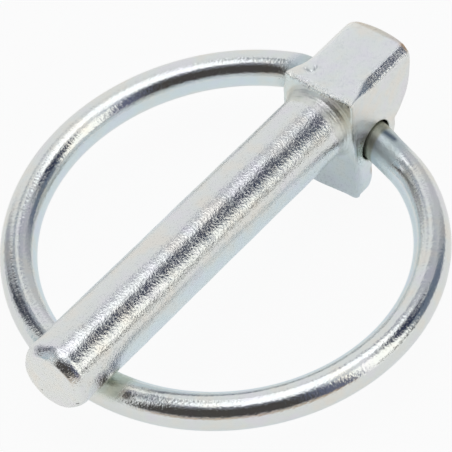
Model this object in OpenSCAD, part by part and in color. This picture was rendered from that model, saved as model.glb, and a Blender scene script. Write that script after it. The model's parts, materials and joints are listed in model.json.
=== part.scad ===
// Lynch pin: a forged pin with a hammer head, and a spring wire ring whose two
// ends turn in a cross hole through the head. The ring is shown closed, folded
// along the pin so that it passes under the shank just short of the tip.
//
// Frame: +X along the shank from tip to head, +Z up. The origin is on the
// shank's centre line, where the parallel shank meets the fillet of the head.

/* [Shank] */
// Diameter of the parallel shank
shank_d = 8; // [6:0.5:9]
// Length from the front face of the head to the flat end of the tip
shank_len = 44.8; // [42:0.2:60]
// Length of the bevel round the tip
tip_bevel_len = 0.95; // [0.4:0.05:1.6]
// Depth of the bevel, measured inwards from the shank's surface
tip_bevel_depth = 0.7; // [0.3:0.05:1.4]
// Radius of the fillet between shank and head
neck_r = 1.2; // [0.4:0.1:1.6]

/* [Head] */
// Width across the two side faces that the ring enters
head_w = 8.6; // [8:0.1:11]
// Height of the head's flat top above the shank's centre line
head_top = 4.7; // [4.2:0.1:6]
// Depth of the toe's foot below the shank's centre line
head_foot = 10.3; // [9.6:0.1:12]
// Length of the head at its top, from the front face to the corners of the back
head_len = 10.7; // [10:0.1:13]
// How far the middle of the back bows out past its two corners
back_bow = 0.8; // [0.2:0.1:1.5]
// Radius on the top edge of the back
back_edge_r = 0.8; // [0.3:0.1:1.4]
// Length of the toe under the shank, front to back
toe_len = 3.2; // [2.6:0.1:4]
// Radius on the back corner of the foot
toe_back_r = 1.3; // [0.8:0.1:2.4]
// Radius that the two long top edges have grown to at the back; they start sharp
top_edge_r = 1.7; // [0.4:0.1:2]
// Radius on the two side corners of the foot
foot_edge_r = 0.5; // [0.4:0.1:1.5]

/* [Cross hole] */
// How much wider the hole is than the wire
hole_clearance = 0.7; // [0.6:0.05:1]
// Radius of the round eye that carries the hole
eye_r = 3.2; // [3:0.1:3.8]
// How far the eye is centred below the hole, at mid width
eye_drop = 0.5; // [0.3:0.1:0.8]
// How much further back the eye stands on the left than on the right
eye_slant_x = 0.9; // [0.4:0.1:1.2]
// How much higher the eye stands on the left than on the right
eye_slant_z = 0.4; // [0:0.1:0.8]
// Distance of the ring's turning axis behind the front face, at mid width
hinge_x = 5.05; // [4.6:0.05:5.6]
// Distance of the ring's turning axis below the shank's centre line, at mid width
hinge_drop = 3.5; // [3:0.1:4]
// How much further back the hole comes out on the left than on the right
hole_slant_x = 2; // [0.5:0.1:2.6]
// How much higher the hole comes out on the left than on the right
hole_slant_z = 1.5; // [0.5:0.1:2]
// How far in front of the wire's centre line the hole is centred
hole_play_x = 0.2; // [0:0.05:0.25]
// How far above the wire's centre line the hole is centred
hole_play_z = 0.1; // [0:0.05:0.15]

/* [Ring] */
// Diameter of the spring wire
wire_d = 4.1; // [3.6:0.1:4.2]
// Distance from the head's front face to where the ring crosses the shank
ring_reach = 38.5; // [34:0.5:42]
// Gap between the closed ring and the underside of the shank
ring_gap = 0.1; // [0.05:0.05:0.5]
// Rise of the ring's mean plane towards the head, in degrees
ring_pitch = 3.1; // [1:0.1:5]
// Angle by which the left half lies above that plane and the right half below
ring_splay = 1.8; // [0.5:0.1:2.5]
// Bend radius of the left end, at the wire's centre line
bend_r_left = 5.2; // [4.2:0.1:6]
// Bend radius of the right end, at the wire's centre line
bend_r_right = 9; // [5:0.5:18]
// Depth to which each end of the wire reaches into the hole
stub_depth = 3.2; // [2:0.1:3.6]

/* [Hidden] */
$fn = 96;

shank_r = shank_d / 2;
wire_r = wire_d / 2;
side_y = head_w / 2;
front_x = neck_r;
tip_x = front_x - shank_len;

// --- Vectors ---

function unit(v) = v / norm(v);

// Points of an arc about c in the plane, from angle a0 to a1
function arc(c, r, a0, a1, n = 8) =
    [for (i = [0:n]) c + r * [cos(a0 + (a1 - a0) * i / n), sin(a0 + (a1 - a0) * i / n)]];

// Moves a shape so that its own X and Y axes lie along x and y, with its origin at p
module place(p, x, y) {
    z = cross(x, y);
    multmatrix([[x.x, y.x, z.x, p.x], [x.y, y.y, z.y, p.y], [x.z, y.z, z.z, p.z], [0, 0, 0, 1]])
        children();
}

// The wire is built from pieces that meet end to end. Every second one is a
// hair thinner and laps into its neighbours, so that each joint is a clean step.
step = 0.01;
lap = 0.05;

// Straight round wire from p along the unit vector d
module straight_wire(p, d, length, thin) {
    side = unit(cross(d, [0, 0, 1]));
    back = thin ? lap : 0;
    place(p - back * d, side, cross(d, side))
        cylinder(r = wire_r - (thin ? step : 0), h = length + back, $fn = 32);
}

// Wire bent about centre c: it starts at c + r * from and sets off along the unit vector along
module bent_wire(c, r, from, along, angle, thin) {
    back = thin ? lap / r * 180 / PI : 0;
    place(c, from, along) rotate([0, 0, -back])
        rotate_extrude(angle = angle + 2 * back, $fn = 80)
            translate([r, 0]) circle(r = wire_r - (thin ? step : 0), $fn = 32);
}

// --- Cross hole and hinge ---

// The hinge axis runs through the middle of both mouths of the hole, right to left
hinge_mid = [front_x + hinge_x, 0, -hinge_drop];
hinge_dir = unit([hole_slant_x, head_w, hole_slant_z]);
hole_mid = hinge_mid + [-hole_play_x, 0, hole_play_z];

module cross_hole() {
    run = 2 * head_w;
    side = unit(cross(hinge_dir, [0, 0, 1]));
    place(hole_mid - hinge_dir * run / 2, side, cross(hinge_dir, side))
        cylinder(d = wire_d + hole_clearance, h = run);
}

// --- Pin ---

// Shank with its bevelled tip and the fillet that runs out into the head
module shank() {
    fillet = [for (p = arc([0, shank_r + neck_r], neck_r, -90, 0)) [p.y, p.x]];
    tip_r = shank_r - tip_bevel_depth;
    inside_head = front_x + 2;
    rotate([0, 90, 0]) rotate_extrude()
        polygon(concat(
            [[0, tip_x], [tip_r, tip_x], [shank_r, tip_x + tip_bevel_len]],
            fillet,
            [[shank_r + neck_r, inside_head], [0, inside_head]]));
}

// Outline of the head from the front, with a rounded foot
module front_outline() {
    polygon(concat(
        [[side_y, head_top], [-side_y, head_top]],
        arc([-side_y + foot_edge_r, -head_foot + foot_edge_r], foot_edge_r, 180, 270),
        arc([side_y - foot_edge_r, -head_foot + foot_edge_r], foot_edge_r, 270, 360)));
}

// Everything behind the head's front face that lies inside its front outline
module head_prism() {
    rotate([90, 0, 90]) linear_extrude(2 * head_len) front_outline();
}

// Hammer block. Its back is turned about an upright axis, so that it bows out in
// the middle, and runs in under the block to the eye.
module hammer() {
    bow_r = (side_y * side_y + back_bow * back_bow) / (2 * back_bow);
    axis_x = head_len + back_bow - bow_r;
    under = -hinge_drop;
    // Radius at which the turned back meets a side face x behind the front
    function back_at(x) = norm([x - axis_x, side_y]);
    intersection() {
        head_prism();
        translate([axis_x, 0, 0]) rotate_extrude() polygon(concat(
            [[0, under], [back_at(head_len - 3), under], [back_at(head_len - 1.5), under + 1.2]],
            [[back_at(head_len - 0.9), under + 2.4], [back_at(head_len - 0.5), under + 3.6]],
            [[back_at(head_len), head_top - 2]],
            arc([back_at(head_len) - back_edge_r, head_top - back_edge_r], back_edge_r, 0, 90),
            [[0, head_top]]));
    }
}

// Round eye for the cross hole
module eye() {
    eye_dir = unit([eye_slant_x, head_w, eye_slant_z]);
    side = unit(cross(eye_dir, [0, 0, 1]));
    translate([-front_x, 0, 0]) intersection() {
        place(hole_mid - [0, 0, eye_drop] - head_w * eye_dir, side, cross(eye_dir, side))
            cylinder(r = eye_r, h = 2 * head_w);
        translate([front_x, 0, 0]) head_prism();
    }
}

// Toe under the shank, and the web that joins it to the eye
module toe() {
    intersection() {
        head_prism();
        rotate([90, 0, 0]) linear_extrude(2 * head_w, center = true) polygon(concat(
            [[0, 0], [toe_len + 2, 0], [toe_len + 2, -hinge_drop], [toe_len, -hinge_drop - 1]],
            arc([toe_len - toe_back_r, -head_foot + toe_back_r], toe_back_r, 0, -90),
            [[0, -head_foot]]));
    }
}

// Takes off a long top edge outside a cone that touches the top and the side, so
// that the edge is sharp at the front and rounded at the back
module top_edge_cut(side) {
    apex = [0, side * side_y, head_top];
    axis = [head_len, -side * top_edge_r, -top_edge_r];
    spread = top_edge_r / norm(axis);
    reach = 2 * norm(axis);
    out = unit([top_edge_r, side * head_len, head_len]);
    across = unit(cross(axis, out));
    difference() {
        place(apex, cross(across, out), across)
            translate([-3 * head_len, -head_w, 0]) cube([4 * head_len, 2 * head_w, head_len]);
        place(apex, across, cross(unit(axis), across))
            cylinder(r1 = 0, r2 = reach * spread / sqrt(1 - spread * spread), h = reach);
    }
}

module head() {
    translate([front_x, 0, 0]) {
        difference() {
            hammer();
            top_edge_cut(1);
            top_edge_cut(-1);
        }
        eye();
        toe();
    }
}

// The fillet, cut to the outline of the head's front face
module neck() {
    intersection() {
        shank();
        translate([-neck_r, 0, 0]) head_prism();
    }
}

module pin() {
    color("silver") difference() {
        union() {
            intersection() {
                shank();
                rotate([0, -90, 0]) cylinder(r = shank_r, h = shank_len);
            }
            neck();
            head();
        }
        cross_hole();
    }
}

// --- Ring ---

// Where the centre line of the closed ring crosses under the shank
crossing = [front_x - ring_reach, 0, -shank_r - ring_gap - wire_r];

// Radius of the arc that leaves the crossing sideways and whose tangent of length
// t ends at point q, where u points from the crossing to the arc's centre
function arc_radius(q, u, t) = (norm(q - crossing) ^ 2 - t * t) / (2 * (q - crossing) * u);

// One half of the ring, from the crossing round to its end in the hole.
// side is 1 for the left half and -1 for the right half.
module half_ring(side, bend_r) {
    along = [0, side, 0];
    tilt = ring_pitch + side * ring_splay;
    u = [cos(tilt), 0, sin(tilt)];
    n = [-sin(tilt), 0, cos(tilt)];
    // Corner where the hinge axis meets the plane of this half
    corner = hinge_mid + hinge_dir * ((crossing - hinge_mid) * n) / (hinge_dir * n);
    inward = -side * hinge_dir;
    tangent = corner_tangent(corner, u, along, inward, bend_r, bend_r * 0.3, 12);
    r = arc_radius(corner, u, tangent);
    centre = crossing + r * u;
    sweep = arc_sweep(corner, centre, u, along, tangent, r);
    arc_end = centre + r * (-cos(sweep) * u + sin(sweep) * along);
    e = unit(corner - arc_end);
    k = unit(inward - (inward * e) * e);
    bend = acos(e * inward);
    bend_c = arc_end + bend_r * k;
    bend_end = corner + inward * bend_r * tan(bend / 2);
    face_s = (side * side_y - bend_end.y) / inward.y;

    bent_wire(centre, r, -u, along, sweep, side < 0);
    bent_wire(bend_c, bend_r, -k, e, bend, side > 0);
    straight_wire(bend_end, inward, face_s + stub_depth, side < 0);
}

// Angle swept by the arc between the crossing and the tangent that ends at q
function arc_sweep(q, centre, u, along, t, r) =
    let (d = q - centre) atan2(d * along, -(d * u)) - atan2(t, r);

// Tangent length that leaves room for the bend at corner q; repeated n times, as
// the bend's angle depends on the arc and the arc on the tangent
function corner_tangent(q, u, along, inward, bend_r, t, n) =
    n == 0 ? t :
    let (
        r = arc_radius(q, u, t),
        centre = crossing + r * u,
        s = arc_sweep(q, centre, u, along, t, r),
        e = unit(q - centre - r * (-cos(s) * u + sin(s) * along)))
    corner_tangent(q, u, along, inward, bend_r, bend_r * tan(acos(e * inward) / 2), n - 1);

module ring() {
    color("gainsboro") union() {
        half_ring(1, bend_r_left);
        half_ring(-1, bend_r_right);
    }
}

pin();
ring();
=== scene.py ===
# Lynch pin: a forged, bright zinc plated pin, and the spring wire ring that turns in its head.
# Shapes are worked out in millimetres and handed to Blender in metres. X runs along the shank
# towards the head, Z is up, and Y points to the left, where the ring enters the head higher.
import json
import math

import bpy
import numpy as np
from mathutils import Matrix, Vector, noise


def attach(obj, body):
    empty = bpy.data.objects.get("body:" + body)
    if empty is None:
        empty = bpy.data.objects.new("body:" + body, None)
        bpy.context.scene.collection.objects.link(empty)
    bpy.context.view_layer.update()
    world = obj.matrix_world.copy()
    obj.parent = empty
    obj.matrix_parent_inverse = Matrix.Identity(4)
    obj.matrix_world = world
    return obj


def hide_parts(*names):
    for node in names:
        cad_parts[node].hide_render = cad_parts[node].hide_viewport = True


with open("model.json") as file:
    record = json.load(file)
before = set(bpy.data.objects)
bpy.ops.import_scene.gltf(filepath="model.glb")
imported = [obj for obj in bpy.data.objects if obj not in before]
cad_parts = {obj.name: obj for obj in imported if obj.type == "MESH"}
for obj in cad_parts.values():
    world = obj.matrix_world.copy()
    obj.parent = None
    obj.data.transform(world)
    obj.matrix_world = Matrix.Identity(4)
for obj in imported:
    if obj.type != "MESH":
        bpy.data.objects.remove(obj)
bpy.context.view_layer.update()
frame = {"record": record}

# --- Pin ---
# One drop forging in steel: a turned shank with a bevelled tip, a fillet, and a head that is a
# hammer block with an eye and a toe below it. Flash is left standing on the front rim of the
# head, and the whole is barrel plated, so every edge is a little soft.

# Shank
SHANK_R = 4.0
TIP_X = -43.55
BEVEL_LENGTH = 0.95
BEVEL_DEPTH = 0.7
FILLET_R = 1.2
# Head, with the flat front face at FACE_X
FACE_X = 1.2
HALF_WIDTH = 4.27
TOP_Z = 4.57
FOOT_Z = -10.27
FOOT_R = 0.65
BACK_X = FACE_X + 10.7
BACK_BOW = 0.75
# Below UNDERCUT_TOP the back of the hammer block curves in, down to its underside
UNDERCUT_TOP = 2.8
UNDERCUT_HEIGHT = 6.6
UNDERCUT_DEPTH = 4.3
HAMMER_Z = -3.6
TOE_X = FACE_X + 3.2
TOE_R = 1.8
EYE_R = 3.2
HOLE_R = 2.28
# Marks of making
FACE_LEAN = 0.3  # how far the front face leans out at the foot
FLASH_TOP, FLASH_MIDDLE, FLASH_FOOT = 0.28, 0.68, 0.33  # flash that leans out to the left
RIB_HEIGHT = 0.09  # flash that stands as a rib on the top and right edges
RIB_WIDTH = 0.14
TOOTH_SIZE = 0.3  # the rib is torn into teeth on top
TOOTH_DROP, TOOTH_REACH = 0.22, 0.35
DIE_RING_PITCH = 0.55  # rings that the die leaves round the fillet, and the crease behind them
DIE_RING_DEPTH = 0.025
CREASE_DEPTH = 0.05
GRIND_WIDTH = 1.05  # bevel ground on the right top edge, and its slope as a unit vector
GRIND_UP, GRIND_OUT = 0.83, 0.56
DENT_X, DENT_Y, DENT_R = 3.35, 2.65, 0.55  # dent left by another part in the plating barrel
DENT_DEPTH = 0.14


def unit(v):
    return v / np.linalg.norm(v)


# The hole is slanted: hinge_dir points out of its left mouth. The eye round it slants less.
hinge = frame["record"]["behaviour"]["joints"][0]
hinge_mid = np.array(hinge["pos_m"]) * 1000
hinge_dir = -unit(np.array(hinge["axis"]))
hole_mid = hinge_mid + np.array([-0.03, 0, 0.13])
eye_mid = hinge_mid + np.array([-0.2, 0, -0.4])
eye_dir = unit(np.array([0.9, 8.6, 0.4]))


def smooth(x, zero_at, one_at):
    """0 at zero_at, 1 at one_at, with an even blend between."""
    t = np.clip((x - zero_at) / (one_at - zero_at), 0, 1)
    return t * t * (3 - 2 * t)


def both(a, b, r):
    """Distance to what two solids share, with their meeting edge rounded to radius r."""
    corner = np.hypot(np.maximum(a + r, 0), np.maximum(b + r, 0))
    return corner + np.minimum(np.maximum(a, b) + r, 0) - r


def joined(a, b, r):
    """Distance to two solids welded together, with a fillet of radius r between them."""
    return -both(-a, -b, r)


def distance_to_line(x, y, z, point, direction):
    """Distance to the line through point along the unit vector direction."""
    px, py, pz = x - point[0], y - point[1], z - point[2]
    cx = py * direction[2] - pz * direction[1]
    cy = pz * direction[0] - px * direction[2]
    cz = px * direction[1] - py * direction[0]
    return np.sqrt(cx * cx + cy * cy + cz * cz)


def shank_shape(x, radius):
    """The round shank with a bevel round its tip, at the given distance from its middle line."""
    slope = math.hypot(BEVEL_LENGTH, BEVEL_DEPTH)
    bevel = (BEVEL_LENGTH * (radius - SHANK_R + BEVEL_DEPTH) - BEVEL_DEPTH * (x - TIP_X)) / slope
    shank = both(radius - SHANK_R, bevel, 0.35)
    return both(shank, TIP_X - x, 0.12)


def front_shape(x, y, z):
    """The shank, its fillet, and all that lies behind the front face of the head."""
    radius = np.hypot(y, z)
    # The face leans out a little towards the foot
    leaning = smooth(z, -5, -9.5) * smooth(y, -3.5, 1) * smooth(radius, 5.5, 8)
    face_x = FACE_X - FACE_LEAN * leaning
    front = joined(shank_shape(x, radius), face_x - x, FILLET_R)
    # The die leaves fine rings round the fillet, and a crease where it ends
    along_fillet = x + radius - SHANK_R
    rings = smooth(along_fillet, -0.3, 0.1) * smooth(along_fillet, 2.5, 2.1)
    front = front + DIE_RING_DEPTH * rings * np.sin(along_fillet * 2 * math.pi / DIE_RING_PITCH)
    return front - CREASE_DEPTH * np.exp(-((along_fillet - 2.35) / 0.13) ** 2)


def head_outline(x, y, z):
    """Sides, top and foot of the head. Flash leans out to the left along the front rim, and
    stands as a thin rib on the right and top edges."""
    behind = x - FACE_X
    flash = FLASH_TOP + (FLASH_MIDDLE - FLASH_TOP) * smooth(z, 4.2, 1.5)
    flash = flash + (FLASH_FOOT - FLASH_MIDDLE) * smooth(z, -2, -6)
    flash = flash * smooth(behind, 2.6, 0.2)
    rib = smooth(behind, 0.75, 0.45)
    top = z - TOP_Z - RIB_HEIGHT * rib
    dent = np.hypot(x - DENT_X, y - DENT_Y) - DENT_R
    top = top + DENT_DEPTH * np.exp(-(dent / 0.12) ** 2) * smooth(x + y, 6.7, 5.9)
    left = both(y - HALF_WIDTH - flash, top, 0.12 + 1.5 * smooth(behind, 0.2, 4.2))
    # The ground bevel dies out towards the front
    ground = smooth(behind, 0.4, 4.4)
    side = -y - HALF_WIDTH - RIB_WIDTH * rib
    bevel = GRIND_UP * top - GRIND_OUT * (y + HALF_WIDTH - GRIND_WIDTH * ground)
    right = both(side, bevel, 0.1 + 0.3 * ground)
    outline = np.maximum(np.maximum(left, right), top)
    return both(outline, FOOT_Z - z, FOOT_R)


def head_profile(x, y, z):
    """The head as seen from its side: the hammer block, the eye below it, and the toe."""
    # The back of the block bows out in the middle and curves in below
    bow = BACK_BOW * (1 - (y / HALF_WIDTH) ** 2)
    under = np.clip((UNDERCUT_TOP - z) / UNDERCUT_HEIGHT, 0, 0.97)
    back_x = BACK_X - UNDERCUT_DEPTH * (1 - np.sqrt(1 - under * under)) + bow
    slope = UNDERCUT_DEPTH / UNDERCUT_HEIGHT * under / np.sqrt(1 - under * under)
    back = (x - back_x) / np.sqrt(1 + slope * slope)
    hammer = both(back, HAMMER_Z - z, 0.3)
    eye = distance_to_line(x, y, z, eye_mid, eye_dir) - EYE_R
    toe = both(x - TOE_X, FOOT_Z - z, TOE_R)
    return joined(joined(hammer, eye, 0.25), toe, 0.35)


def pin_shape(x, y, z):
    """Distance from the pin's surface: negative in the metal, positive outside."""
    # The back edges are rounder at the top of the head, and the front ones at its foot
    back_edge_r = 0.35 + 0.35 * smooth(z, 3, 4.4)
    front_edge_r = 0.1 + 0.4 * smooth(z, -8.2, -10)
    head = both(head_outline(x, y, z), head_profile(x, y, z), back_edge_r)
    solid = both(head, front_shape(x, y, z), front_edge_r)
    hole = HOLE_R - distance_to_line(x, y, z, hole_mid, hinge_dir)
    return both(solid, hole, 0.2)


def shell_of(shape, xs, ys, zs):
    """Points and four-sided faces of the surface where shape is 0, from a grid of samples."""
    grid = (xs, ys, zs)
    value = shape(*np.meshgrid(xs, ys, zs, indexing="ij"))
    cells = np.array(value.shape) - 1
    total = np.zeros((cells.prod(), 3))
    count = np.zeros(cells.prod())
    quads = []
    # Where an edge of the grid crosses the surface, the four cells round it share a face, and
    # each cell's point is the middle of its crossings
    for axis in range(3):
        low = np.moveaxis(value, axis, 0)[:-1]
        high = np.moveaxis(value, axis, 0)[1:]
        hit = np.argwhere(np.moveaxis((low < 0) != (high < 0), 0, axis))
        step = np.zeros(3, int)
        step[axis] = 1
        a = value[tuple(hit.T)]
        b = value[tuple((hit + step).T)]
        point = np.stack([grid[i][hit[:, i]] for i in range(3)], 1)
        width = grid[axis][hit[:, axis] + 1] - point[:, axis]
        point[:, axis] += width * a / (a - b)
        u, v = (axis + 1) % 3, (axis + 2) % 3
        corners = []
        for du, dv in ((0, 0), (-1, 0), (-1, -1), (0, -1)):
            cell = hit.copy()
            cell[:, u] += du
            cell[:, v] += dv
            corners.append(np.ravel_multi_index(cell.T, cells))
            for i in range(3):
                total[:, i] += np.bincount(corners[-1], point[:, i], len(total))
            count += np.bincount(corners[-1], minlength=len(count))
        quad = np.stack(corners, 1)
        quads.append(np.where((a < 0)[:, None], quad, quad[:, ::-1]))
    used = count > 0
    number = np.cumsum(used) - 1
    points = total[used] / count[used][:, None]
    faces = number[np.concatenate(quads)]
    # Rounds of evening out the faces and going back to the surface
    for _ in range(3):
        points = even_out(points, faces)
        points = pull_onto(shape, points)
    return points, faces.tolist()


def even_out(points, faces):
    """Moves each point halfway to the middle of its faces, so that the faces grow alike."""
    middle = points[faces].mean(axis=1)
    total = np.zeros_like(points)
    count = np.bincount(faces.ravel(), minlength=len(points))
    for i in range(3):
        total[:, i] = np.bincount(faces.ravel(), np.repeat(middle[:, i], 4), len(points))
    return (points + total / count[:, None]) / 2


def pull_onto(shape, points):
    """Moves each point straight to the surface where shape is 0."""
    reach = 0.01
    for _ in range(3):
        here = shape(*points.T)
        slope = np.stack([shape(*(points + np.eye(3)[i] * reach).T) - here for i in range(3)], 1) / reach
        step = here / np.maximum((slope ** 2).sum(1), 0.2)
        points = points - slope * np.clip(step, -0.1, 0.1)[:, None]
    return points


def mesh_piece(name, points, faces):
    """A smooth-shaded Blender object from points in millimetres."""
    mesh = bpy.data.meshes.new(name)
    mesh.from_pydata((points / 1000).tolist(), [], faces)
    mesh.shade_smooth()
    piece = bpy.data.objects.new(name, mesh)
    bpy.context.scene.collection.objects.link(piece)
    return piece


def roughen(points, normals, size, depth):
    """Pushes points in or out by up to depth, in hills and hollows about size across."""
    height = [noise.noise(Vector(p / size)) for p in points]
    return points + normals * (np.array(height) * depth)[:, None]


def normals_of(shape, points):
    """Unit vectors straight out of the surface at each point."""
    reach = 0.01
    slope = np.stack(
        [shape(*(points + np.eye(3)[i] * reach).T) - shape(*(points - np.eye(3)[i] * reach).T)
         for i in range(3)], 1)
    return slope / np.linalg.norm(slope, axis=1)[:, None]


# The grid leaves half a millimetre or so of room round the pin. It is fine at the tip and the
# head, and coarser along the plain shank between them
fine = 0.14
coarse = 0.4
xs = np.concatenate([
    np.arange(TIP_X - 0.4, TIP_X + 1.8, fine),
    np.arange(TIP_X + 1.8, -1.2, coarse),
    np.arange(-1.2, BACK_X + 1.4, fine)])
ys = np.arange(-HALF_WIDTH - 0.53, HALF_WIDTH + FLASH_MIDDLE + 0.45, fine)
zs = np.arange(FOOT_Z - 0.53, TOP_Z + 0.73, fine)
points, faces = shell_of(pin_shape, xs, ys, zs)
normals = normals_of(pin_shape, points)
# The scaled skin of the forging: shallow waves, with finer ones on them
points = roughen(points, normals, size=2.2, depth=0.03)
points = roughen(points, normals, size=0.8, depth=0.012)
# Burr: the rib along the front top edge is torn into small teeth
on_burr = smooth(points[:, 0], FACE_X + 0.6, FACE_X + 0.2) * smooth(points[:, 0], FACE_X - 0.5, FACE_X - 0.1)
on_burr = on_burr * smooth(points[:, 2], 4.1, 4.5)
teeth = np.array([abs(noise.noise(Vector(p / TOOTH_SIZE))) for p in points])
points[:, 2] -= on_burr * TOOTH_DROP * teeth
points[:, 0] -= on_burr * TOOTH_REACH * teeth
pin = mesh_piece("pin_forging", points, faces)


def linear(hex_colour):
    """A colour written as sRGB hex, as linear red, green, blue and 1."""
    parts = [int(hex_colour[i:i + 2], 16) / 255 for i in (1, 3, 5)]
    return [c / 12.92 if c <= 0.04045 else ((c + 0.055) / 1.055) ** 2.4 for c in parts] + [1]


def add_node(tree, kind, inputs=None, **settings):
    """Adds a node, with its settings, and its inputs as values or as links from other nodes."""
    made = tree.nodes.new("ShaderNode" + kind)
    for name, value in settings.items():
        setattr(made, name, value)
    for socket, value in (inputs or {}).items():
        if isinstance(value, bpy.types.NodeSocket):
            tree.links.new(value, made.inputs[socket])
        else:
            made.inputs[socket].default_value = value
    return made


def zinc_plate(name, grain, grain_depth, roughness, fleck, zones):
    """Bright zinc plate with a clear chromate: pale, faintly blue metal, with a grain of the
    given size and depth in millimetres that breaks reflections into sparkle. fleck is how much
    rougher its dull crystals are. Each zone is where the plate differs: limits along X, Y and Z
    as (from, to) pairs, how softly they end, the roughness there, how many times as deep the
    grain is, and a colour for stains and wear, and for painted shade and reflections. Later zones are laid
    over earlier ones."""
    material = bpy.data.materials.new(name)
    material.use_nodes = True
    tree = material.node_tree
    tree.nodes.clear()
    place = add_node(tree, "TexCoord").outputs["Object"]
    per_mm = add_node(tree, "VectorMath", {0: place, "Scale": 1000.0}, operation="SCALE").outputs[0]
    # The chromate film drifts between a blue, a lavender and a straw tint over a few millimetres
    drift = add_node(tree, "TexNoise", {"Vector": per_mm, "Scale": 0.3, "Detail": 2.0, "Roughness": 0.6})
    tint = add_node(tree, "ValToRGB", {"Fac": drift.outputs["Fac"]})
    stops = tint.color_ramp.elements
    stops[0].position, stops[0].color = 0.32, linear("#f6f6fb")
    stops[1].position, stops[1].color = 0.68, linear("#faf8f2")
    middle = stops.new(0.5)
    middle.color = linear("#f5f9f8")
    colour = tint.outputs["Color"]
    # Its gloss varies by three tenths either way, in clouds about 2 mm across
    clouds = add_node(tree, "TexNoise", {"Vector": per_mm, "Scale": 0.5, "Detail": 2.0})
    rough = add_node(tree, "MapRange", {
        "Value": clouds.outputs["Fac"], "From Min": 0.3, "From Max": 0.7,
        "To Min": roughness * 0.7, "To Max": roughness * 1.3}).outputs["Result"]
    hills = add_node(tree, "TexNoise", {
        "Vector": per_mm, "Scale": 1 / grain, "Detail": 2.0, "Roughness": 0.6})
    depth = grain_depth / 1000  # the bump is set in metres
    axes = add_node(tree, "SeparateXYZ", {"Vector": per_mm}).outputs
    for limits, soft, zone_rough, deeper, stain_and_painted_light in zones:
        inside = 1.0
        for value, limit in zip((axes["X"], axes["Y"], axes["Z"]), limits):
            for end, way in zip(limit or (), (-1, 1)):
                mask = add_node(tree, "MapRange", {
                    "Value": value, "From Min": end + way * soft, "From Max": end - way * soft})
                inside = add_node(tree, "Math", {0: inside, 1: mask.outputs["Result"]},
                                  operation="MULTIPLY").outputs[0]
        rough = add_node(tree, "Mix", {0: inside, 2: rough, 3: zone_rough}).outputs[0]
        depth = add_node(tree, "Mix", {0: inside, 2: depth, 3: deeper * grain_depth / 1000}).outputs[0]
        # each zone's colour is multiplied in: some are stains and wear, others painted shade and painted
        # reflections
        colour = add_node(tree, "Mix", {0: inside, 6: colour, 7: linear(stain_and_painted_light)},
                          data_type="RGBA", blend_type="MULTIPLY").outputs[2]
    # Single crystals of the plate, drawn about 0.2 mm across so that they show, are duller than
    # their neighbours
    crystals = add_node(tree, "TexNoise", {"Vector": per_mm, "Scale": 4.5, "Detail": 1.0})
    duller = add_node(tree, "MapRange", {
        "Value": crystals.outputs["Fac"], "From Min": 0.56, "From Max": 0.66,
        "To Min": 0.0, "To Max": fleck})
    rough = add_node(tree, "Math", {0: rough, 1: duller.outputs["Result"]}, operation="ADD").outputs[0]
    bump = add_node(tree, "Bump", {"Height": hills.outputs["Fac"], "Strength": 1.0, "Distance": depth})
    shader = add_node(tree, "BsdfPrincipled", {
        "Base Color": colour, "Metallic": 1.0, "Roughness": rough, "Normal": bump.outputs["Normal"]})
    add_node(tree, "OutputMaterial", {"Surface": shader.outputs["BSDF"]})
    return material


# Beyond any part of the pin or the ring
FAR = 99
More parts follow.
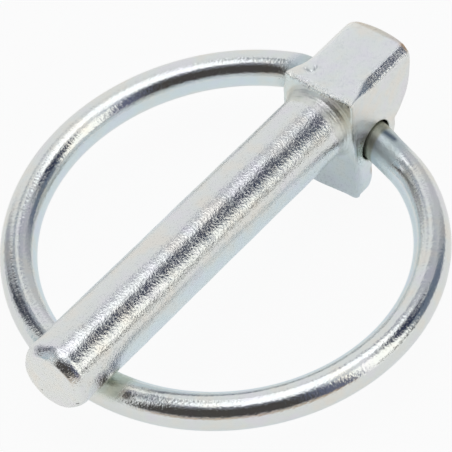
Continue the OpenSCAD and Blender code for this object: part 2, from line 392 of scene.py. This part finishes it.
# The forging has a grained skin that sparkles in hard light, satin where the die pressed it flat
forging_zones = [
    # the shank is a little darker than the head, and its grain is shallower towards the tip
    (((TIP_X + 0.4, -1), None, None), 0.5, 0.09, 1.0, "#f4f4f5"),
    (((-7, -1), None, None), 4, 0.1, 1.2, "#ffffff"),
    (((-FAR, -32), None, None), 9, 0.08, 0.85, "#ffffff"),
    # coarser on the bevel of the tip, and duller and smoother on its end
    (((-FAR, TIP_X + 1), None, None), 0.1, 0.1, 1.3, "#ffffff"),
    (((-FAR, TIP_X + 0.15), None, None), 0.05, 0.25, 0.3, "#fffefe"),
    # satin skin on the neck, the sides and the top of the head
    (((-0.9, FACE_X + 0.08), None, None), 0.25, 0.36, 1.0, "#faf9f5"),
    # the neck below the shank is darkened to a blue grey: painted shade
    (((-0.9, FACE_X + 0.08), None, (-FAR, -3)), 1.5, 0.36, 1.0, "#d0d2d8"),
    (((FACE_X + 0.1, FAR), (HALF_WIDTH - 0.12, FAR), None), 0.08, 0.34, 1.0, "#fcfcfd"),
    (((FACE_X + 0.1, FAR), (-FAR, 0.12 - HALF_WIDTH), None), 0.08, 0.34, 1.0, "#fcfcfd"),
    (((FACE_X + 0.3, FAR), None, (TOP_Z - 0.15, FAR)), 0.05, 0.3, 0.6, "#fdfeff"),
    # sparkle on the ground bevel
    (((3, 11.5), (-4.2, -3.1), (3.9, 4.55)), 0.15, 0.12, 1.4, "#ffffff"),
    # painted shade: a greenish grey patch on the front of the head under its top right corner; and
    # painted bluish shading between its right edge and the hole
    (((0.5, FACE_X + 0.1), (-4.2, -2.4), (1.2, 3.8)), 0.5, 0.36, 1.0, "#e6e9df"),
    (((FACE_X + 0.4, 3.3), (-FAR, -4.1), (-5.8, -1.8)), 0.6, 0.2, 1.0, "#f0f9fa"),
    # torn rib on the front top edge
    (((FACE_X - 0.3, FACE_X + 0.7), None, (TOP_Z - 0.25, FAR)), 0.1, 0.12, 2.6, "#ffffff"),
    # edges where the plate is rubbed thin: the back of the top, its right corner, and a spot on
    # the back edge of the toe
    (((11.7, FAR), None, (4.0, FAR)), 0.15, 0.35, 2.0, "#efe8df"),
    (((11.5, FAR), (-FAR, -3.0), (3.9, FAR)), 0.25, 0.35, 3.0, "#e3c9ad"),
    (((4.0, 5), (-FAR, -4.1), (-8.3, -7.3)), 0.3, 0.4, 2.0, "#e3c9ad"),
    # pinholes on the end of the tip, drawn only as dark specks of painted shade
    (((-FAR, -43), (1.3, 1.44), (-2.23, -2.09)), 0.05, 0.6, 1.0, "#3a3836"),
    (((-FAR, -43), (-3.3, -3.1), (-1.55, -1.37)), 0.05, 0.6, 1.0, "#3a3836"),
]
pin.data.materials.append(zinc_plate(
    "bright_zinc_on_forging", grain=0.24, grain_depth=0.034, roughness=0.09, fleck=0.3,
    zones=forging_zones))
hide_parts("pin")
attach(pin, "pin")

# --- Ring ---
# One length of drawn spring wire, coiled to an open ring. Each end is bent inwards and sprung
# into the cross hole of the head, and it is plated with the pin.

WIRE_R = 2.0
STUB_R = 2.06  # where the wire turns in the hole
LEFT_BEND_R = 5.2
RIGHT_BEND_R = 9.0
STUB_DEPTH = 3.2  # how far each end reaches in from the side of the head at SIDE_Y
SIDE_Y = 4.3
# The ring crosses under the shank REACH from the front face. From there its two halves climb
# towards the head by PITCH degrees, the left one by SPLAY more and the right one by SPLAY less
REACH = 38.5
UNDER_Z = -6.15
PITCH = 3.1
SPLAY = 1.8
crossing = np.array([FACE_X - REACH, 0, UNDER_Z])


def arc_points(centre, r, start, along, angle, spacing=0.3):
    """Points on an arc that begins at centre + r * start and sets off towards along."""
    turns = np.linspace(0, angle, max(3, int(angle * r / spacing)))[:, None]
    return centre + r * (np.cos(turns) * start + np.sin(turns) * along)


def half_ring(side, bend_r):
    """Centre line of one half, from the crossing under the shank to the end in the hole."""
    along = np.array([0, side, 0.0])
    tilt = math.radians(PITCH + side * SPLAY)
    u = np.array([math.cos(tilt), 0, math.sin(tilt)])
    n = np.array([-math.sin(tilt), 0, math.cos(tilt)])
    corner = hinge_mid + hinge_dir * ((crossing - hinge_mid) @ n) / (hinge_dir @ n)
    inward = -side * hinge_dir
    # The big arc ends where the bend begins, and the bend's length depends on how they meet, so
    # both are found in rounds
    tangent = bend_r * 0.3
    for _ in range(12):
        r = ((corner - crossing) @ (corner - crossing) - tangent ** 2) / (2 * (corner - crossing) @ u)
        centre = crossing + r * u
        away = corner - centre
        sweep = math.atan2(away @ along, -(away @ u)) - math.atan2(tangent, r)
        arc_end = centre + r * (-math.cos(sweep) * u + math.sin(sweep) * along)
        heading = unit(corner - arc_end)
        bend = math.acos(heading @ inward)
        tangent = bend_r * math.tan(bend / 2)
    turn_in = unit(inward - (inward @ heading) * heading)
    bend_end = corner + inward * tangent
    depth = (side * SIDE_Y - bend_end[1]) / inward[1] + STUB_DEPTH
    stub = bend_end + inward * np.linspace(0, depth, 14)[:, None]
    return np.concatenate([
        arc_points(centre, r, -u, along, sweep),
        arc_points(arc_end + bend_r * turn_in, bend_r, -turn_in, heading, bend)[1:],
        stub[1:]])


def wire_tube(path, radii, around=56):
    """Points, outward vectors and faces of a round wire along path, with a slightly rounded cut
    at each end."""
    heading = np.gradient(path, axis=0)
    heading /= np.linalg.norm(heading, axis=1)[:, None]
    side = unit(np.cross(heading[0], [0, 0, 1]))
    angles = np.linspace(0, 2 * math.pi, around, endpoint=False)
    rings = []
    outward = []
    for i, (centre, forward, r) in enumerate(zip(path, heading, radii)):
        side = unit(side - (side @ forward) * forward)
        up = np.cross(forward, side)
        around_wire = np.cos(angles)[:, None] * side + np.sin(angles)[:, None] * up
        if i in (0, len(path) - 1):
            # the cut end: from the middle of the flat face out over a small round, left plain
            back = 1 if i == 0 else -1
            steps = [(0.25, 0), (0.6, 0), (0.88, 0), (0.955, 0.03), (0.99, 0.1)]
            steps = steps if i == 0 else steps[::-1]
            for width, inset in steps:
                rings.append(centre + back * inset * forward + around_wire * r * width)
                outward.append(around_wire * 0)
        else:
            rings.append(centre + around_wire * r)
            outward.append(around_wire)
    count = len(rings)
    points = np.concatenate(rings)
    index = np.arange(count * around).reshape(count, around)
    nxt = np.roll(index, -1, axis=1)
    quads = np.stack([index[:-1], nxt[:-1], nxt[1:], index[1:]], -1).reshape(-1, 4)
    ends = [index[0][::-1].tolist(), index[-1].tolist()]
    return points, np.concatenate(outward), quads.tolist() + ends


left = half_ring(1, LEFT_BEND_R)
right = half_ring(-1, RIGHT_BEND_R)
path = np.concatenate([left[::-1], right[1:]])
in_hole = smooth(np.abs(path[:, 1]), 6.5, 4.8) * smooth(path[:, 0], 0, 3)
points, outward, faces = wire_tube(path, WIRE_R + (STUB_R - WIRE_R) * in_hole)
points = roughen(points, outward, size=3.0, depth=0.008)
ring = mesh_piece("ring_wire", points, faces)
# Drawn wire is smoother than the forging, so its plate gives longer, cleaner reflections
wire_zones = [
    # a little greyer than the pin all over
    (((-FAR, FAR), None, None), 1, 0.08, 1.0, "#f2f3f4"),
    # dulled where it is bent in; the bluish grey there and the straw colour at the mouths of the hole are
    # painted reflections of the head close by
    (((2.5, FAR), (-8.5, 8.5), None), 0.7, 0.38, 1.5, "#e6eff2"),
    (((2.5, FAR), (-5.2, 5.2), None), 0.15, 0.45, 1.0, "#e6decb"),
    # a dark blue-grey streak on the right bend, a painted reflection of something dark nearby, and an olive
    # cast where the wire lies under the tip, a painted reflection of the shank
    (((5.1, 5.8), (-6.9, -5.1), (-3, FAR)), 0.25, 0.4, 1.0, "#949dab"),
    (((-FAR, -30), (-4.2, 3), (-5.1, FAR)), 0.5, 0.35, 1.0, "#eef1e4"),
]
ring.data.materials.append(zinc_plate(
    "bright_zinc_on_spring_wire", grain=0.27, grain_depth=0.024, roughness=0.08, fleck=0.13,
    zones=wire_zones))
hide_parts("ring")
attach(ring, "ring")

# --- Camera ---
# A long lens, about a third of a metre away, looks down on the pin from in front of its tip and
# to the right, and leans a few degrees to one side.

AIM = Vector((-15.38, -0.04, -2.0)) / 1000
DISTANCE = 0.34759
azimuth, elevation, roll = (math.radians(a) for a in (-46.65, 47.363, 6.314))
back = Vector((
    math.sin(azimuth) * math.cos(elevation),
    -math.cos(azimuth) * math.cos(elevation),
    math.sin(elevation)))
lens = bpy.data.cameras.new("camera")
lens.sensor_width = 36
lens.lens = 262.49
lens.clip_start, lens.clip_end = 0.01, 10
camera = bpy.data.objects.new("camera", lens)
camera.rotation_mode = "QUATERNION"
camera.location = AIM + back * DISTANCE
turned = (-back).to_track_quat("-Z", "Y")
camera.rotation_quaternion = Matrix.Rotation(roll, 3, -back).to_quaternion() @ turned
bpy.context.scene.collection.objects.link(camera)
bpy.context.scene.camera = camera

# --- Studio ---
# A white table in a bright tent. The tent's openings and the dark gear behind the camera give
# the plated metal its bright and dark stripes. The table leans to meet the foot and the ring.

room = bpy.data.worlds.new("light_tent")
bpy.context.scene.world = room
room.use_nodes = True
tree = room.node_tree
tree.nodes.clear()
direction = add_node(tree, "TexCoord").outputs["Generated"]
split = add_node(tree, "SeparateXYZ", {"Vector": direction})
bearing = add_node(tree, "Math", {0: split.outputs["Y"], 1: split.outputs["X"]},
                   operation="ARCTAN2").outputs[0]
height = add_node(tree, "Math", {0: split.outputs["Z"]}, operation="ARCSINE").outputs[0]
# Each patch: bearing from +X towards +Y and elevation of its middle, half width and half
# height, all in degrees, softness in degrees, its colour and its strength. Later patches cover
# earlier ones, and what none covers is the pale cloth of the tent.
patches = [
    # openings overhead, and the grey seams beside them
    ((0, 84), (200, 12), 3, "#ffffff", 1.25),
    ((25, 67), (30, 5), 3, "#ffffff", 1.25),
    ((350, 66), (16, 6), 2, "#ffffff", 1.4),
    ((152, 55), (8, 8), 4, "#ffffff", 1.0),
    ((100, 66), (40, 9), 5, "#999da1", 1.0),
    ((128, 69), (14, 6), 4, "#6e7078", 1.0),
    ((270, 63), (22, 6), 3, "#bcc2cc", 1.0),
    # a tall opening to the right
    ((292, 29), (15, 27), 2, "#fffdf6", 1.2),
    # the dark side where the camera stands, over a warm strip low down
    ((205, 67), (50, 7), 4, "#7c7f87", 1.0),
    ((219, 37), (49, 26), 5, "#4a4745", 1.0),
    ((264, 32), (10, 26), 3, "#666a7e", 1.0),
    ((224, 5), (46, 4), 3, "#bca792", 1.0),
    # dark gear to the right of the head and above it
    ((327, 22), (20, 17), 4, "#6c7684", 1.0),
    ((329, 52), (13, 8), 2, "#32384d", 1.0),
    ((315, 44), (11, 11), 2, "#32384d", 1.0),
    ((26, 56), (12, 4), 3, "#666a80", 1.0),
    ((297, 9), (13, 3.5), 1.5, "#2a2b33", 1.0),
    # the cloth beyond the head, in its own shade
    ((352, 18), (7, 26), 6, "#a6a7ab", 1.0),
    ((8, 14), (9, 30), 6, "#c2c2c4", 1.0),
    ((6, 51), (22, 8), 3, "#b4b5bb", 1.0),
    # folds and gear to the left
    ((78, 50), (17, 6), 5, "#9298a2", 1.0),
    ((96, 46), (12, 10), 5, "#4a4d58", 1.0),
    ((90, 20), (7, 14), 4, "#a2a3a9", 1.0),
    ((107, 26), (9, 15), 4, "#42454f", 1.0),
    ((98, 1), (13, 5), 4, "#a8abb0", 1.0),
    ((136, 15), (12, 48), 6, "#a5b4bb", 1.0),
]
colour = linear("#e6e6e5")
for (east, up), (half_w, half_h), soft, hex_colour, power in patches:
    turn = add_node(tree, "Math", {0: bearing, 1: math.radians(east)}, operation="SUBTRACT").outputs[0]
    turn = add_node(tree, "Math", {0: turn, 1: math.pi, 2: -math.pi}, operation="WRAP").outputs[0]
    turn = add_node(tree, "Math", {0: turn}, operation="ABSOLUTE").outputs[0]
    lift = add_node(tree, "Math", {0: height, 1: math.radians(up)}, operation="SUBTRACT").outputs[0]
    lift = add_node(tree, "Math", {0: lift}, operation="ABSOLUTE").outputs[0]
    inside = []
    for value, half in ((turn, half_w), (lift, half_h)):
        inside.append(add_node(tree, "MapRange", {
            "Value": value, "From Min": math.radians(half - soft), "From Max": math.radians(half + soft),
            "To Min": 1.0, "To Max": 0.0}, interpolation_type="SMOOTHSTEP").outputs[0])
    mask = add_node(tree, "Math", {0: inside[0], 1: inside[1]}, operation="MULTIPLY").outputs[0]
    tone = [c * power for c in linear(hex_colour)[:3]] + [1]
    colour = add_node(tree, "Mix", {0: mask, 6: colour, 7: tone}, data_type="RGBA").outputs[2]
light = add_node(tree, "Background", {"Color": colour, "Strength": 1.0})
plain = add_node(tree, "Background", {"Color": linear("#ffffff"), "Strength": 1.0})
seen = add_node(tree, "LightPath").outputs["Is Camera Ray"]
mixed = add_node(tree, "MixShader", {0: seen, 1: light.outputs[0], 2: plain.outputs[0]})
add_node(tree, "OutputWorld", {"Surface": mixed.outputs[0]})

TABLE_LEAN = math.radians(-3)
TABLE_HALF = 4.0  # metres
floor_normal = Vector((math.sin(TABLE_LEAN), 0, 1)).normalized()
lowest = min(point.co.dot(floor_normal) for piece in (pin, ring) for point in piece.data.vertices)
corners = [(TABLE_HALF * x, TABLE_HALF * y, 0) for x, y in ((-1, -1), (1, -1), (1, 1), (-1, 1))]
flat = bpy.data.meshes.new("table")
flat.from_pydata(corners, [], [(0, 1, 2, 3)])
table = bpy.data.objects.new("table", flat)
table.rotation_mode = "QUATERNION"
table.rotation_quaternion = Vector((0, 0, 1)).rotation_difference(floor_normal)
table.location = floor_normal * lowest
bpy.context.scene.collection.objects.link(table)
# Matt white paper. The camera sees it mostly as plain white and only partly as lit, and so do
# reflections in the plate, so the paper stays white with no lamp added for it
paper = bpy.data.materials.new("white_table_paper")
paper.use_nodes = True
tree = paper.node_tree
tree.nodes.clear()
matt = add_node(tree, "BsdfDiffuse", {"Color": linear("#f8fafb")})
white = add_node(tree, "Emission", {"Color": linear("#ffffff"), "Strength": 1.0})
# In the plate's reflections, the paper inside the ring is a cooler white than the paper round it: painted
# shade where less light reaches it
spot = add_node(tree, "NewGeometry").outputs["Position"]
ring_middle = (path.min(0) + path.max(0)) / 2000
away = add_node(tree, "VectorMath", {0: spot, 1: ring_middle}, operation="DISTANCE").outputs["Value"]
outside = add_node(tree, "MapRange", {
    "Value": away, "From Min": 0.02, "From Max": 0.028, "To Min": 0.0, "To Max": 1.0}).outputs["Result"]
tone = add_node(tree, "Mix", {
    0: outside, 6: linear("#eefaff"), 7: linear("#fdfbf7")}, data_type="RGBA").outputs[2]
glow = add_node(tree, "Emission", {"Color": tone, "Strength": 1.0})
seen = add_node(tree, "LightPath").outputs
share = add_node(tree, "Math", {0: seen["Is Glossy Ray"], 1: 0.62}, operation="MULTIPLY").outputs[0]
mixed = add_node(tree, "MixShader", {0: share, 1: matt.outputs[0], 2: glow.outputs[0]})
share = add_node(tree, "Math", {0: seen["Is Camera Ray"], 1: 0.93}, operation="MULTIPLY").outputs[0]
mixed = add_node(tree, "MixShader", {0: share, 1: mixed.outputs[0], 2: white.outputs[0]})
add_node(tree, "OutputMaterial", {"Surface": mixed.outputs[0]})
flat.materials.append(paper)

bpy.context.scene.view_settings.view_transform = "Standard"
